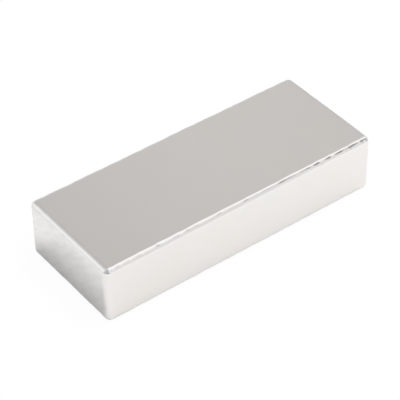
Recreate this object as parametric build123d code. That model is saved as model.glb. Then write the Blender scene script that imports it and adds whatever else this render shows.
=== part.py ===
# Rectangular block magnet: one sintered block, ground flat, tumbled and plated all over.
# It lies on a pole face. X runs along the length, Y across the width, and Z through the thickness,
# which is the way it is magnetised. The origin is the centre of the lower pole face's plane.
# Every size is in millimetres.

import os

from build123d import *

# The three finished sizes, measured over the plating.
block_length = 50.0
block_width = 20.0
block_thickness = 10.0

# The four upright edges belong to the bar that the block was sliced from, so they are the rounder ones.
upright_edge_radius = 1.0
# Tumbling after slicing breaks the rim of each pole face, which stays crisper.
rim_radius = 0.65


def plan_outline():
    """The bar's cross section, which is the block's outline seen from above."""
    with BuildSketch(Plane.XY) as outline:
        RectangleRounded(block_length, block_width, upright_edge_radius)
    return outline.sketch


def magnet_block():
    """The slice, with its rims rounded where each pole face meets the four sides and four corners."""
    with BuildPart() as block:
        extrude(plan_outline(), amount=block_thickness)
        pole_faces = block.faces().filter_by(Axis.Z)
        fillet(pole_faces.edges(), radius=rim_radius)
    return block.part


os.makedirs("parts", exist_ok=True)
export_step(magnet_block(), "parts/magnet_block.step")
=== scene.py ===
import bpy
import math
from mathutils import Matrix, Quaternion, Vector


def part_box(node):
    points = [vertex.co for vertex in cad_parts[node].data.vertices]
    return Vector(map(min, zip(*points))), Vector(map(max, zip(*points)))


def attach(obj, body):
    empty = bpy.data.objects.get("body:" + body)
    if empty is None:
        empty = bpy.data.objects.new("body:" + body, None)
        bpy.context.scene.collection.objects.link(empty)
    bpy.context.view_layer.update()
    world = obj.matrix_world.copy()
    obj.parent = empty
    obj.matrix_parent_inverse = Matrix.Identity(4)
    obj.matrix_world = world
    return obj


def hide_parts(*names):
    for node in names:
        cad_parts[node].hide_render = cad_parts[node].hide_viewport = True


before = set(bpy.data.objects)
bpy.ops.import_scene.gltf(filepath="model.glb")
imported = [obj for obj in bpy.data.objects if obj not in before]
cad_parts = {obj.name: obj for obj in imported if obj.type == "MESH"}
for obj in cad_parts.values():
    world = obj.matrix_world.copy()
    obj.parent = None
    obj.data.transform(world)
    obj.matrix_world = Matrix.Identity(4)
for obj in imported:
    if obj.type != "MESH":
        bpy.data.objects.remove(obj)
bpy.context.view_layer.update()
print("frame loaded")


# camera, standing off the near left corner and looking down on the block
cameraPlace = {
    "azimuth": -36.62,         # degrees, 0 looks along +Y
    "elevation": 40.737,
    "distance": 0.272579,      # metres from the aimed point
    "aim": (-0.000862, -0.000187, 0.004271),
    "roll": -0.978,            # degrees
    "lens": 160.38,            # millimetres, as is the sensor
    "sensor": 36.0,
    "nearest": 0.01,           # metres, the stretch that the camera sees
    "furthest": 20.0,
}


def heading(azimuth, elevation):
    # azimuth 0 is the way that the long front side faces, and 90 the way that the right end faces
    around = math.radians(azimuth)
    up = math.radians(elevation)
    return Vector((math.sin(around) * math.cos(up), -math.cos(around) * math.cos(up), math.sin(up)))


def aimCamera():
    back = heading(cameraPlace["azimuth"], cameraPlace["elevation"])
    lens = bpy.data.cameras.new("studioCamera")
    lens.lens = cameraPlace["lens"]
    lens.sensor_width = cameraPlace["sensor"]
    lens.clip_start = cameraPlace["nearest"]
    lens.clip_end = cameraPlace["furthest"]
    camera = bpy.data.objects.new("studioCamera", lens)
    camera.location = Vector(cameraPlace["aim"]) + back * cameraPlace["distance"]
    camera.rotation_mode = "QUATERNION"
    roll = Quaternion((0.0, 0.0, 1.0), math.radians(cameraPlace["roll"]))
    camera.rotation_quaternion = (-back).to_track_quat("-Z", "Y") @ roll
    bpy.context.scene.collection.objects.link(camera)
    bpy.context.scene.camera = camera


aimCamera()
print("camera placed")


# small helpers for wiring node trees
def addNode(tree, kind, **settings):
    made = tree.nodes.new(kind)
    for name, value in settings.items():
        setattr(made, name, value)
    return made


def feed(tree, socket, value):
    # a socket is linked, and anything else is typed in
    if isinstance(value, bpy.types.NodeSocket):
        tree.links.new(value, socket)
    elif value is not None:
        socket.default_value = value


def calc(tree, operation, first, second=None, third=None):
    made = addNode(tree, "ShaderNodeMath", operation=operation)
    for socket, value in zip(made.inputs, (first, second, third)):
        feed(tree, socket, value)
    return made.outputs[0]


def plus(tree, first, second):
    return calc(tree, "ADD", first, second)


def minus(tree, first, second):
    return calc(tree, "SUBTRACT", first, second)


def times(tree, first, second):
    return calc(tree, "MULTIPLY", first, second)


def over(tree, first, second):
    return calc(tree, "DIVIDE", first, second)


def larger(tree, first, second):
    return calc(tree, "MAXIMUM", first, second)


def smaller(tree, first, second):
    return calc(tree, "MINIMUM", first, second)


def split(tree, vector):
    made = addNode(tree, "ShaderNodeSeparateXYZ")
    feed(tree, made.inputs[0], vector)
    return made.outputs


def join(tree, x, y, z):
    made = addNode(tree, "ShaderNodeCombineXYZ")
    for socket, value in zip(made.inputs, (x, y, z)):
        feed(tree, socket, value)
    return made.outputs[0]


def scaled(tree, vector, factor):
    made = addNode(tree, "ShaderNodeVectorMath", operation="SCALE")
    feed(tree, made.inputs[0], vector)
    feed(tree, made.inputs["Scale"], factor)
    return made.outputs[0]


def dot(tree, first, second):
    made = addNode(tree, "ShaderNodeVectorMath", operation="DOT_PRODUCT")
    feed(tree, made.inputs[0], first)
    feed(tree, made.inputs[1], second)
    return made.outputs["Value"]


def noise(tree, vector, scale, detail, grit, seed):
    made = addNode(tree, "ShaderNodeTexNoise", noise_dimensions="4D")
    feed(tree, made.inputs["Vector"], vector)
    feed(tree, made.inputs["W"], seed)
    feed(tree, made.inputs["Scale"], scale)
    feed(tree, made.inputs["Detail"], detail)
    feed(tree, made.inputs["Roughness"], grit)
    return made.outputs[0]


def remap(tree, value, fromLow, fromHigh, toLow, toHigh, smooth=False):
    made = addNode(tree, "ShaderNodeMapRange", clamp=True)
    made.interpolation_type = "SMOOTHSTEP" if smooth else "LINEAR"
    feed(tree, made.inputs["Value"], value)
    feed(tree, made.inputs["From Min"], fromLow)
    feed(tree, made.inputs["From Max"], fromHigh)
    feed(tree, made.inputs["To Min"], toLow)
    feed(tree, made.inputs["To Max"], toHigh)
    return made.outputs[0]


def blend(tree, share, first, second):
    # the colours of this node are its sockets 6 and 7 going in, and 2 coming out
    made = addNode(tree, "ShaderNodeMix", data_type="RGBA")
    feed(tree, made.inputs["Factor"], share)
    feed(tree, made.inputs[6], first)
    feed(tree, made.inputs[7], second)
    return made.outputs[2]


# the block itself: a slice of bar with rounded upright edges and finer rims round its two pole faces
blockShape = {
    "uprightRadius": 0.001,    # metres, the bar's own corners, seen from above
    "rimRadius": 0.00085,      # where the sides meet the pole faces
    "rimUnevenness": 0.15,     # share of the rim radius that tumbling leaves uneven
    "rimPatch": 0.0016,        # length of one uneven patch
    "rimDetail": 3.0,
    "rimGrit": 0.65,
    "faceWave": 0.000004,      # how deep the broad waves of the ground faces are
    "waveLength": 0.006,
    "waveDetail": 1.0,
    "waveGrit": 0.5,
    "seed": 4.0,
    "waveSeedStep": 5.0,       # keeps the waves apart from the rim's patches
    "cellsLong": 120,          # flat cells, and the cells that turn each edge
    "cellsWide": 48,
    "cellsHigh": 20,
    "cellsEdge": 10,
    "rimShare": 0.2,           # part of the edge cells that stays flat on a pole face
    "gather": 0.6,             # how much the flat cells crowd towards the edges
    "poleReach": 0.9999,       # past this share of the height a point lies on a pole face
}
blockInputs = (
    "Length", "Width", "Thickness", "Upright Radius", "Rim Radius", "Rim Unevenness", "Rim Patch",
    "Face Wave", "Wave Length", "Seed",
)
eighthTurn = math.pi / 4
quarterTurn = math.pi / 2
noiseReach = 4.0               # brings the usual reach of the noise, a quarter each way, up to one
nearZero = 0.0001              # stands in for zero in a division


def axisZones(tree, coordinate, cells):
    # sign, share of the flat zone from the middle, and share of the edge zone, along one axis
    edgeCells = blockShape["cellsEdge"]
    start = 1.0 - 2.0 * edgeCells / (cells + 2 * edgeCells)
    reach = calc(tree, "ABSOLUTE", coordinate)
    flat = smaller(tree, over(tree, reach, start), 1.0)
    slack = times(tree, minus(tree, 1.0, flat), blockShape["gather"])
    flat = times(tree, flat, plus(tree, 1.0, slack))
    edge = over(tree, minus(tree, reach, start), 1.0 - start)
    return calc(tree, "SIGN", coordinate), flat, larger(tree, edge, 0.0)


def planDirection(tree, edgeX, edgeY):
    # which way the rounding faces in plan, up to an eighth of a turn to each side of the corner
    nearer = larger(tree, edgeX, edgeY)
    portion = over(tree, smaller(tree, edgeX, edgeY), larger(tree, nearer, nearZero))
    turn = times(tree, portion, eighthTurn)
    along = calc(tree, "COSINE", turn)
    across = calc(tree, "SINE", turn)
    mostlyX = calc(tree, "GREATER_THAN", edgeX, edgeY)
    mostlyY = minus(tree, 1.0, mostlyX)
    planX = plus(tree, times(tree, along, mostlyX), times(tree, across, mostlyY))
    planY = plus(tree, times(tree, along, mostlyY), times(tree, across, mostlyX))
    return nearer, planX, planY


def rimTilt(tree, nearer, edgeZ, onPole):
    # how far the surface has tipped up towards the pole face, and how far out it stands from the spine
    share = blockShape["rimShare"]
    offPole = minus(tree, 1.0, onPole)
    past = larger(tree, over(tree, minus(tree, nearer, share), 1.0 - share), 0.0)
    poleTilt = minus(tree, quarterTurn, times(tree, past, eighthTurn))
    sideTilt = times(tree, edgeZ, eighthTurn)
    tilt = plus(tree, times(tree, poleTilt, onPole), times(tree, sideTilt, offPole))
    spread = smaller(tree, over(tree, nearer, share), 1.0)
    return tilt, larger(tree, spread, offPole)


def halfLess(tree, size, radius):
    return minus(tree, times(tree, size, 0.5), radius)


def blockTree():
    tree = bpy.data.node_groups.new("roundedBlock", "GeometryNodeTree")
    face = tree.interface
    face.new_socket("Geometry", in_out="INPUT", socket_type="NodeSocketGeometry")
    for name in blockInputs:
        face.new_socket(name, in_out="INPUT", socket_type="NodeSocketFloat")
    face.new_socket("Finish", in_out="INPUT", socket_type="NodeSocketMaterial")
    face.new_socket("Geometry", in_out="OUTPUT", socket_type="NodeSocketGeometry")
    given = addNode(tree, "NodeGroupInput").outputs

    # a gridded cube from -1 to 1, with cells for the flats and for the edges
    counts = [blockShape[name] for name in ("cellsLong", "cellsWide", "cellsHigh")]
    cube = addNode(tree, "GeometryNodeMeshCube")
    cube.inputs["Size"].default_value = (2.0, 2.0, 2.0)
    for name, count in zip(("Vertices X", "Vertices Y", "Vertices Z"), counts):
        cube.inputs[name].default_value = count + 2 * blockShape["cellsEdge"] + 1
    place = split(tree, addNode(tree, "GeometryNodeInputPosition").outputs[0])
    sideX, flatX, edgeX = axisZones(tree, place[0], counts[0])
    sideY, flatY, edgeY = axisZones(tree, place[1], counts[1])
    sideZ, flatZ, edgeZ = axisZones(tree, place[2], counts[2])
    height = calc(tree, "ABSOLUTE", place[2])
    onPole = calc(tree, "GREATER_THAN", height, blockShape["poleReach"])
    nearer, planX, planY = planDirection(tree, edgeX, edgeY)
    tilt, spread = rimTilt(tree, nearer, edgeZ, onPole)

    # the spine of the rounding, and the uneven rim radius along it
    upright = given["Upright Radius"]
    spineX = times(tree, times(tree, halfLess(tree, given["Length"], upright), flatX), sideX)
    spineY = times(tree, times(tree, halfLess(tree, given["Width"], upright), flatY), sideY)
    level = times(tree, given["Thickness"], sideZ)
    patches = noise(tree, join(tree, spineX, spineY, level), over(tree, 1.0, given["Rim Patch"]),
                    blockShape["rimDetail"], blockShape["rimGrit"], given["Seed"])
    swing = times(tree, given["Rim Unevenness"], noiseReach)
    wander = times(tree, minus(tree, patches, 0.5), swing)
    radius = times(tree, given["Rim Radius"], plus(tree, 1.0, wander))

    # broad waves only ever sink the surface, so that the block keeps its size
    waveSpot = join(tree, spineX, spineY, times(tree, level, flatZ))
    waveSeed = plus(tree, given["Seed"], blockShape["waveSeedStep"])
    waves = noise(tree, waveSpot, over(tree, 1.0, given["Wave Length"]),
                  blockShape["waveDetail"], blockShape["waveGrit"], waveSeed)
    sunk = times(tree, waves, given["Face Wave"])
    reach = minus(tree, radius, sunk)

    # from the spine outwards by the tilt
    inner = times(tree, minus(tree, upright, radius), spread)
    outward = plus(tree, inner, times(tree, reach, calc(tree, "COSINE", tilt)))
    stem = times(tree, halfLess(tree, given["Thickness"], radius), flatZ)
    upward = plus(tree, stem, times(tree, reach, calc(tree, "SINE", tilt)))
    newX = plus(tree, spineX, times(tree, times(tree, planX, sideX), outward))
    newY = plus(tree, spineY, times(tree, times(tree, planY, sideY), outward))
    newZ = plus(tree, times(tree, sideZ, upward), times(tree, given["Thickness"], 0.5))

    mould = addNode(tree, "GeometryNodeSetPosition")
    feed(tree, mould.inputs["Geometry"], cube.outputs["Mesh"])
    feed(tree, mould.inputs["Position"], join(tree, newX, newY, newZ))
    smooth = addNode(tree, "GeometryNodeSetShadeSmooth")
    feed(tree, smooth.inputs["Geometry"], mould.outputs[0])
    real = addNode(tree, "GeometryNodeRealizeInstances")
    feed(tree, real.inputs["Geometry"], smooth.outputs[0])
    dress = addNode(tree, "GeometryNodeSetMaterial")
    feed(tree, dress.inputs["Geometry"], real.outputs[0])
    feed(tree, dress.inputs["Material"], given["Finish"])
    feed(tree, addNode(tree, "NodeGroupOutput").inputs["Geometry"], dress.outputs[0])
    return tree


def moulded(name, tree, values):
    # runs the tree once and keeps the result as a plain mesh
    seedMesh = bpy.data.meshes.new(name)
    carrier = bpy.data.objects.new(name, seedMesh)
    bpy.context.scene.collection.objects.link(carrier)
    modifier = carrier.modifiers.new("shape", "NODES")
    modifier.node_group = tree
    for item in tree.interface.items_tree:
        if item.in_out == "INPUT" and item.name in values:
            modifier[item.identifier] = values[item.name]
    bpy.context.view_layer.update()
    shaped = carrier.evaluated_get(bpy.context.evaluated_depsgraph_get())
    mesh = bpy.data.meshes.new_from_object(shaped)
    carrier.modifiers.clear()
    carrier.data = mesh
    bpy.data.meshes.remove(seedMesh)
    mesh.name = name
    return carrier


# bright nickel over a ground and tumbled block, with sizes in millimetres and depths in metres
nickel = {
    "tone": (0.825, 0.80, 0.775),
    "coolTone": (0.815, 0.80, 0.785),
    "toneNoise": {"size": 7.0, "detail": 3.0, "grit": 0.55, "seed": 1.0},
    "toneRange": (0.35, 0.65),      # stretch of the noise over which the tone turns
    "hazeNoise": {"size": 3.0, "detail": 4.0, "grit": 0.6, "seed": 2.0},
    "hazeRange": (0.3, 0.7),
    "rough": (0.13, 0.22),          # roughness where it is clear and where it is hazy
    "peelNoise": {"size": 0.35, "detail": 2.0, "grit": 0.5, "seed": 3.0},
    "peelDepth": 0.0000012,
    "grainNoise": {"size": 1.0, "detail": 3.0, "grit": 0.6, "seed": 4.0},
    "grainStretch": (0.04, 5.0, 5.0),   # long along the block and fine across it
    "grainDepth": 0.0000004,
    "streakNoise": {"size": 1.0, "detail": 3.0, "grit": 0.55, "seed": 7.0},
    "streakSize": (3.0, 3.6, 0.85),
    "streakLean": -0.66,            # radians
    "streakRange": (0.32, 0.62),
    "streakTone": 0.92,             # how dark the marks on the two ends are
    "streakDepth": 0.000006,
    "endRange": (0.7, 0.95),        # how far a surface has to face the ends to carry those marks
    "pitSpacing": 2.4,
    "pitSize": 0.035,               # radius of a pin hole, as a share of their spacing
    "pitCore": 0.4,                 # share of that radius that is its flat bottom
    "pitDepth": 0.000004,
    "pitTone": (0.25, 0.24, 0.23),
    "pitShade": 0.5,
    "pitRough": 0.3,
}


def grown(tree, spot, recipe):
    return noise(tree, spot, 1.0 / recipe["size"], recipe["detail"], recipe["grit"], recipe["seed"])


def bumped(tree, layers):
    # stacks the height layers, each on the one before
    normal = None
    for height, depth in layers:
        layer = addNode(tree, "ShaderNodeBump")
        layer.inputs["Distance"].default_value = depth
        feed(tree, layer.inputs["Height"], height)
        feed(tree, layer.inputs["Normal"], normal)
        normal = layer.outputs[0]
    return normal


def nickelPlating():
    material = bpy.data.materials.new("brightNickelPlating")
    material.use_nodes = True
    tree = material.node_tree
    shader = tree.nodes["Principled BSDF"]
    shader.inputs["Metallic"].default_value = 1.0
    place = addNode(tree, "ShaderNodeTexCoord").outputs
    spot = scaled(tree, place["Object"], 1000.0)    # in millimetres

    # the deposit is very slightly warmer in patches
    patches = remap(tree, grown(tree, spot, nickel["toneNoise"]), *nickel["toneRange"], 0.0, 1.0)
    tone = blend(tree, patches, (*nickel["coolTone"], 1.0), (*nickel["tone"], 1.0))

    # haze: polishing compound and handling leave some parts duller
    haze = grown(tree, spot, nickel["hazeNoise"])
    rough = remap(tree, haze, *nickel["hazeRange"], *nickel["rough"])

    # orange peel of the plating, and the lengthwise grinding lines that still show through it
    peel = grown(tree, spot, nickel["peelNoise"])
    stretched = addNode(tree, "ShaderNodeMapping")
    feed(tree, stretched.inputs["Vector"], spot)
    stretched.inputs["Scale"].default_value = nickel["grainStretch"]
    grain = grown(tree, stretched.outputs[0], nickel["grainNoise"])

    # faint hollows of the grinding run aslant, and only on the two ends are they darker too
    aslant = addNode(tree, "ShaderNodeMapping", vector_type="TEXTURE")
    feed(tree, aslant.inputs["Vector"], spot)
    aslant.inputs["Rotation"].default_value = (nickel["streakLean"], 0.0, 0.0)
    aslant.inputs["Scale"].default_value = nickel["streakSize"]
    streaks = grown(tree, aslant.outputs[0], nickel["streakNoise"])
    facing = calc(tree, "ABSOLUTE", split(tree, place["Normal"])[0])
    onEnd = remap(tree, facing, *nickel["endRange"], 0.0, 1.0, True)
    marks = times(tree, remap(tree, streaks, *nickel["streakRange"], 1.0, 0.0, True), onEnd)
    toned = scaled(tree, tone, remap(tree, marks, 0.0, 1.0, 1.0, nickel["streakTone"]))

    # scattered pin holes
    holes = addNode(tree, "ShaderNodeTexVoronoi")
    feed(tree, holes.inputs["Vector"], spot)
    holes.inputs["Scale"].default_value = 1.0 / nickel["pitSpacing"]
    core = nickel["pitSize"] * nickel["pitCore"]
    pit = remap(tree, holes.outputs["Distance"], core, nickel["pitSize"], 1.0, 0.0, True)
    colour = blend(tree, times(tree, pit, nickel["pitShade"]), toned, (*nickel["pitTone"], 1.0))
    feed(tree, shader.inputs["Base Color"], colour)
    feed(tree, shader.inputs["Roughness"], plus(tree, rough, times(tree, pit, nickel["pitRough"])))
    feed(tree, shader.inputs["Normal"], bumped(tree, (
        (streaks, nickel["streakDepth"]),
        (peel, nickel["peelDepth"]),
        (grain, nickel["grainDepth"]),
        (minus(tree, 1.0, pit), nickel["pitDepth"]),
    )))
    return material


low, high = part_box("magnet_block")
block = moulded("plated_block", blockTree(), {
    "Length": high.x - low.x,
    "Width": high.y - low.y,
    "Thickness": high.z - low.z,
    "Upright Radius": blockShape["uprightRadius"],
    "Rim Radius": blockShape["rimRadius"],
    "Rim Unevenness": blockShape["rimUnevenness"],
    "Rim Patch": blockShape["rimPatch"],
    "Face Wave": blockShape["faceWave"],
    "Wave Length": blockShape["waveLength"],
    "Seed": blockShape["seed"],
    "Finish": nickelPlating(),
})
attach(block, "root")
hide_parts("magnet_block")
print("block made:", len(block.data.polygons), "faces")


# floor and studio
studio = {
    "floorSize": 6.0,          # metres
    "floorDrop": 0.00002,      # keeps the floor just clear of the lower pole face
    "floorTone": 0.8,
    "eyeWhite": 0.95,          # share of plain white that the eye sees, the rest is the lit floor
    "metalWhite": 0.03,        # share of plain white that the metal mirrors
    "brightSide": (200.0, 20.0),    # azimuth and elevation, degrees
    "skyTint": (0.98, 1.0, 1.02),
    "skyLevels": ((0.0, 0.42), (0.5, 0.55), (1.0, 0.85)),   # from the dark side to the bright side
}


def floorWhite():
    material = bpy.data.materials.new("studioFloorWhite")
    material.use_nodes = True
    tree = material.node_tree
    tree.nodes.clear()
    lit = addNode(tree, "ShaderNodeBsdfDiffuse")
    lit.inputs["Color"].default_value = tinted(studio["floorTone"], neutral)
    plain = addNode(tree, "ShaderNodeEmission")
    path = addNode(tree, "ShaderNodeLightPath").outputs
    both = addNode(tree, "ShaderNodeMixShader")
    eye = times(tree, path["Is Camera Ray"], studio["eyeWhite"])
    mirrored = larger(tree, path["Is Glossy Ray"], path["Is Transmission Ray"])
    mirrored = times(tree, mirrored, studio["metalWhite"])
    feed(tree, both.inputs[0], larger(tree, eye, mirrored))
    feed(tree, both.inputs[1], lit.outputs[0])
    feed(tree, both.inputs[2], plain.outputs[0])
    feed(tree, addNode(tree, "ShaderNodeOutputMaterial").inputs["Surface"], both.outputs[0])
    return material


def layFloor():
    half = studio["floorSize"] / 2
    drop = -studio["floorDrop"]
    mesh = bpy.data.meshes.new("studioFloor")
    corners = [(-half, -half, drop), (half, -half, drop), (half, half, drop), (-half, half, drop)]
    mesh.from_pydata(corners, [], [(0, 1, 2, 3)])
    mesh.materials.append(floorWhite())
    floor = bpy.data.objects.new("studioFloor", mesh)
    bpy.context.scene.collection.objects.link(floor)


# what the metal mirrors: each card hides those above it, and angles and half sizes are in degrees
# a positive turn leans its top towards larger azimuth, and soft is how far its edge fades, as a tangent
neutral = (1.0, 1.0, 1.0)
skyCards = {
    "overheadPanel": {         # the bright line along the long top edge
        "azimuth": 78, "elevation": 67, "turn": 0, "halfWide": 30, "halfHigh": 16, "soft": 0.1,
        "level": 1.17, "tint": neutral,
    },
    "frontPanel": {            # lights the foot of that rim
        "azimuth": 18, "elevation": 29, "turn": 0, "halfWide": 22, "halfHigh": 29, "soft": 0.08,
        "level": 1.0, "tint": neutral,
    },
    "leftPanel": {             # the bright rim of the near end
        "azimuth": -134, "elevation": 22, "turn": 0, "halfWide": 24, "halfHigh": 24, "soft": 0.3,
        "level": 1.08, "tint": (0.985, 1.0, 1.01),
    },
    "leftShade": {             # lets that rim brighten slowly
        "azimuth": 188, "elevation": 50, "turn": 0, "halfWide": 18, "halfHigh": 13, "soft": 0.3,
        "level": 0.68, "tint": neutral,
    },
    "backWall": {              # the tone of the top
        "azimuth": 138, "elevation": 38, "turn": 0, "halfWide": 22, "halfHigh": 14, "soft": 0.12,
        "level": 0.6, "tint": (1.03, 1.0, 0.98),
    },
    "backPanel": {             # a little lighter in the middle of the top
        "azimuth": 147, "elevation": 38, "turn": 0, "halfWide": 8, "halfHigh": 13, "soft": 0.12,
        "level": 0.71, "tint": (1.02, 1.0, 0.985),
    },
    "darkPost": {              # a little darker towards the near end
        "azimuth": 159, "elevation": 48, "turn": 50, "halfWide": 14, "halfHigh": 10, "soft": 0.12,
        "level": 0.54, "tint": (1.02, 1.0, 1.0),
    },
    "sidePanel": {             # keeps the top light grey when it is seen from behind
        "azimuth": 59, "elevation": 14, "turn": 0, "halfWide": 17, "halfHigh": 17, "soft": 0.06,
        "level": 0.62, "tint": neutral,
    },
    "lowFlag": {               # the pale line below the bright one
        "azimuth": 29, "elevation": 27, "turn": 23, "halfWide": 5, "halfHigh": 17, "soft": 0.04,
        "level": 0.84, "tint": neutral,
    },
    "highFlag": {              # the dark dashes near the far right corner
        "azimuth": 61.5, "elevation": 46.5, "turn": 50, "halfWide": 7.5, "halfHigh": 9.5, "soft": 0.03,
        "level": 0.14, "tint": neutral,
    },
    "rightPanel": {            # keeps the top light when it is seen from the left end
        "azimuth": 98, "elevation": 29, "turn": 0, "halfWide": 24, "halfHigh": 22, "soft": 0.1,
        "level": 1.0, "tint": neutral,
    },
}
# the lamp lights the floor alone, as the metal doesn't mirror it
keyLamp = {
    "azimuth": 52.0,
    "elevation": 71.5,
    "distance": 0.40,          # metres from the origin
    "wide": 0.32,
    "high": 0.125,
    "power": 1.03,             # watts
    "tint": (1.01, 1.0, 0.98),
}


def tinted(level, tint):
    return (*(level * part for part in tint), 1.0)


def hangCard(tree, way, sky, card):
    # a soft-edged rectangle on the sky, facing the block
    front = heading(card["azimuth"], card["elevation"])
    plumb = front.cross(Vector((0.0, 0.0, 1.0))).normalized()
    side = Quaternion(front, math.radians(-card["turn"])) @ plumb
    depth = dot(tree, way, front)
    cover = calc(tree, "GREATER_THAN", depth, 0.0)
    for axis, half in ((side, card["halfWide"]), (side.cross(front), card["halfHigh"])):
        aside = calc(tree, "ABSOLUTE", over(tree, dot(tree, way, axis), depth))
        edge = math.tan(math.radians(half))
        within = remap(tree, aside, edge - card["soft"], edge + card["soft"], 1.0, 0.0, True)
        cover = times(tree, cover, within)
    return blend(tree, cover, sky, tinted(card["level"], card["tint"]))


def skyLight():
    world = bpy.data.worlds.new("studioSky")
    bpy.context.scene.world = world
    world.use_nodes = True
    tree = world.node_tree
    tree.nodes.clear()
    way = addNode(tree, "ShaderNodeTexCoord").outputs["Generated"]
    ramp = addNode(tree, "ShaderNodeValToRGB")
    ramp.color_ramp.interpolation = "EASE"
    ramp.color_ramp.elements.new(0.5)
    for element, (position, level) in zip(ramp.color_ramp.elements, studio["skyLevels"]):
        element.position = position
        element.color = tinted(level, studio["skyTint"])
    turned = dot(tree, way, heading(*studio["brightSide"]))
    feed(tree, ramp.inputs[0], calc(tree, "MULTIPLY_ADD", turned, 0.5, 0.5))
    sky = ramp.outputs[0]
    for card in skyCards.values():
        sky = hangCard(tree, way, sky, card)

    # where the eye looks past the floor it meets plain white
    seen = addNode(tree, "ShaderNodeLightPath").outputs["Is Camera Ray"]
    glow = addNode(tree, "ShaderNodeBackground")
    feed(tree, glow.inputs["Color"], blend(tree, seen, sky, tinted(1.0, neutral)))
    feed(tree, addNode(tree, "ShaderNodeOutputWorld").inputs["Surface"], glow.outputs[0])


def hangLamp():
    light = bpy.data.lights.new("rightSoftbox", "AREA")
    light.shape = "RECTANGLE"
    light.size = keyLamp["wide"]
    light.size_y = keyLamp["high"]
    light.energy = keyLamp["power"]
    light.color = keyLamp["tint"]
    lamp = bpy.data.objects.new("rightSoftbox", light)
    toward = heading(keyLamp["azimuth"], keyLamp["elevation"])
    lamp.location = toward * keyLamp["distance"]
    lamp.rotation_mode = "QUATERNION"
    lamp.rotation_quaternion = toward.to_track_quat("Z", "Y")
    lamp.visible_glossy = False
    bpy.context.scene.collection.objects.link(lamp)


layFloor()
skyLight()
hangLamp()
bpy.context.scene.view_settings.view_transform = "Standard"
print("studio lit")
